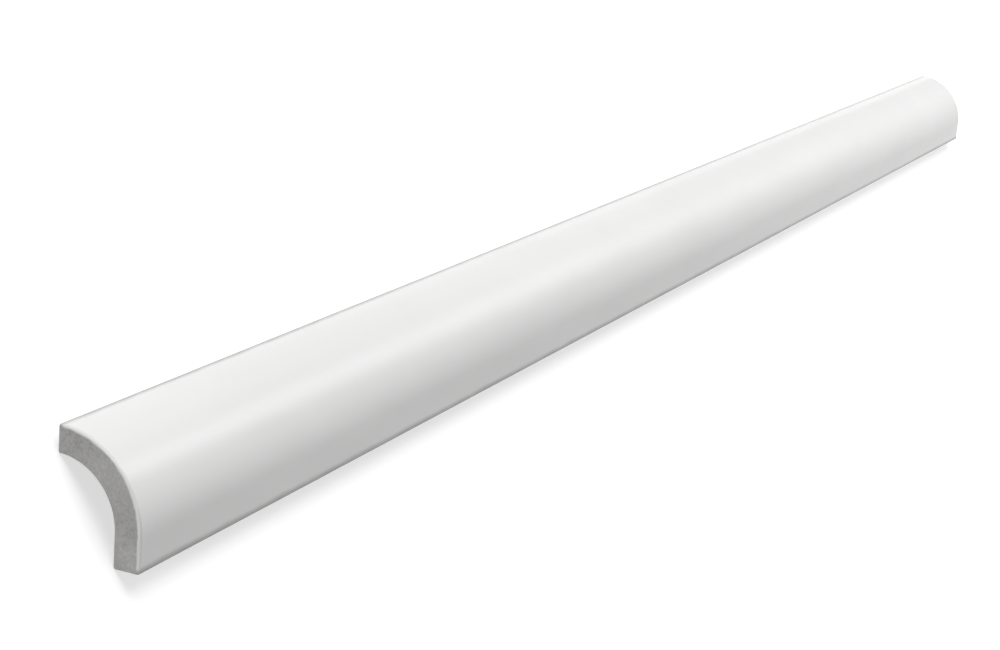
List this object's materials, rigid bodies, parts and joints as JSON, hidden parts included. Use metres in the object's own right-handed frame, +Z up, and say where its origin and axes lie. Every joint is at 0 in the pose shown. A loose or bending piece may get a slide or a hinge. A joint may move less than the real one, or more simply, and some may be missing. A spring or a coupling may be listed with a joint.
{
  "type": "pencil trim tile",
  "caption": "Long slim ceramic trim strip with a convex glazed face, a straight leg along one side and a hollow unglazed back.",
  "frame": {"origin": "on the floor under the middle of the tile as it lies face up", "axes": "+X along the tile, +Z up out of the face, -Y the side with the straight leg and its foot, +Y the side with the lip"},
  "size_m": [0.5, 0.0244, 0.0089],
  "materials": {
    "glazed_ceramic": "gloss"
  },
  "bodies": {
    "root": {"pencil_trim_tile": "glazed_ceramic"}
  },
  "joints": []
}
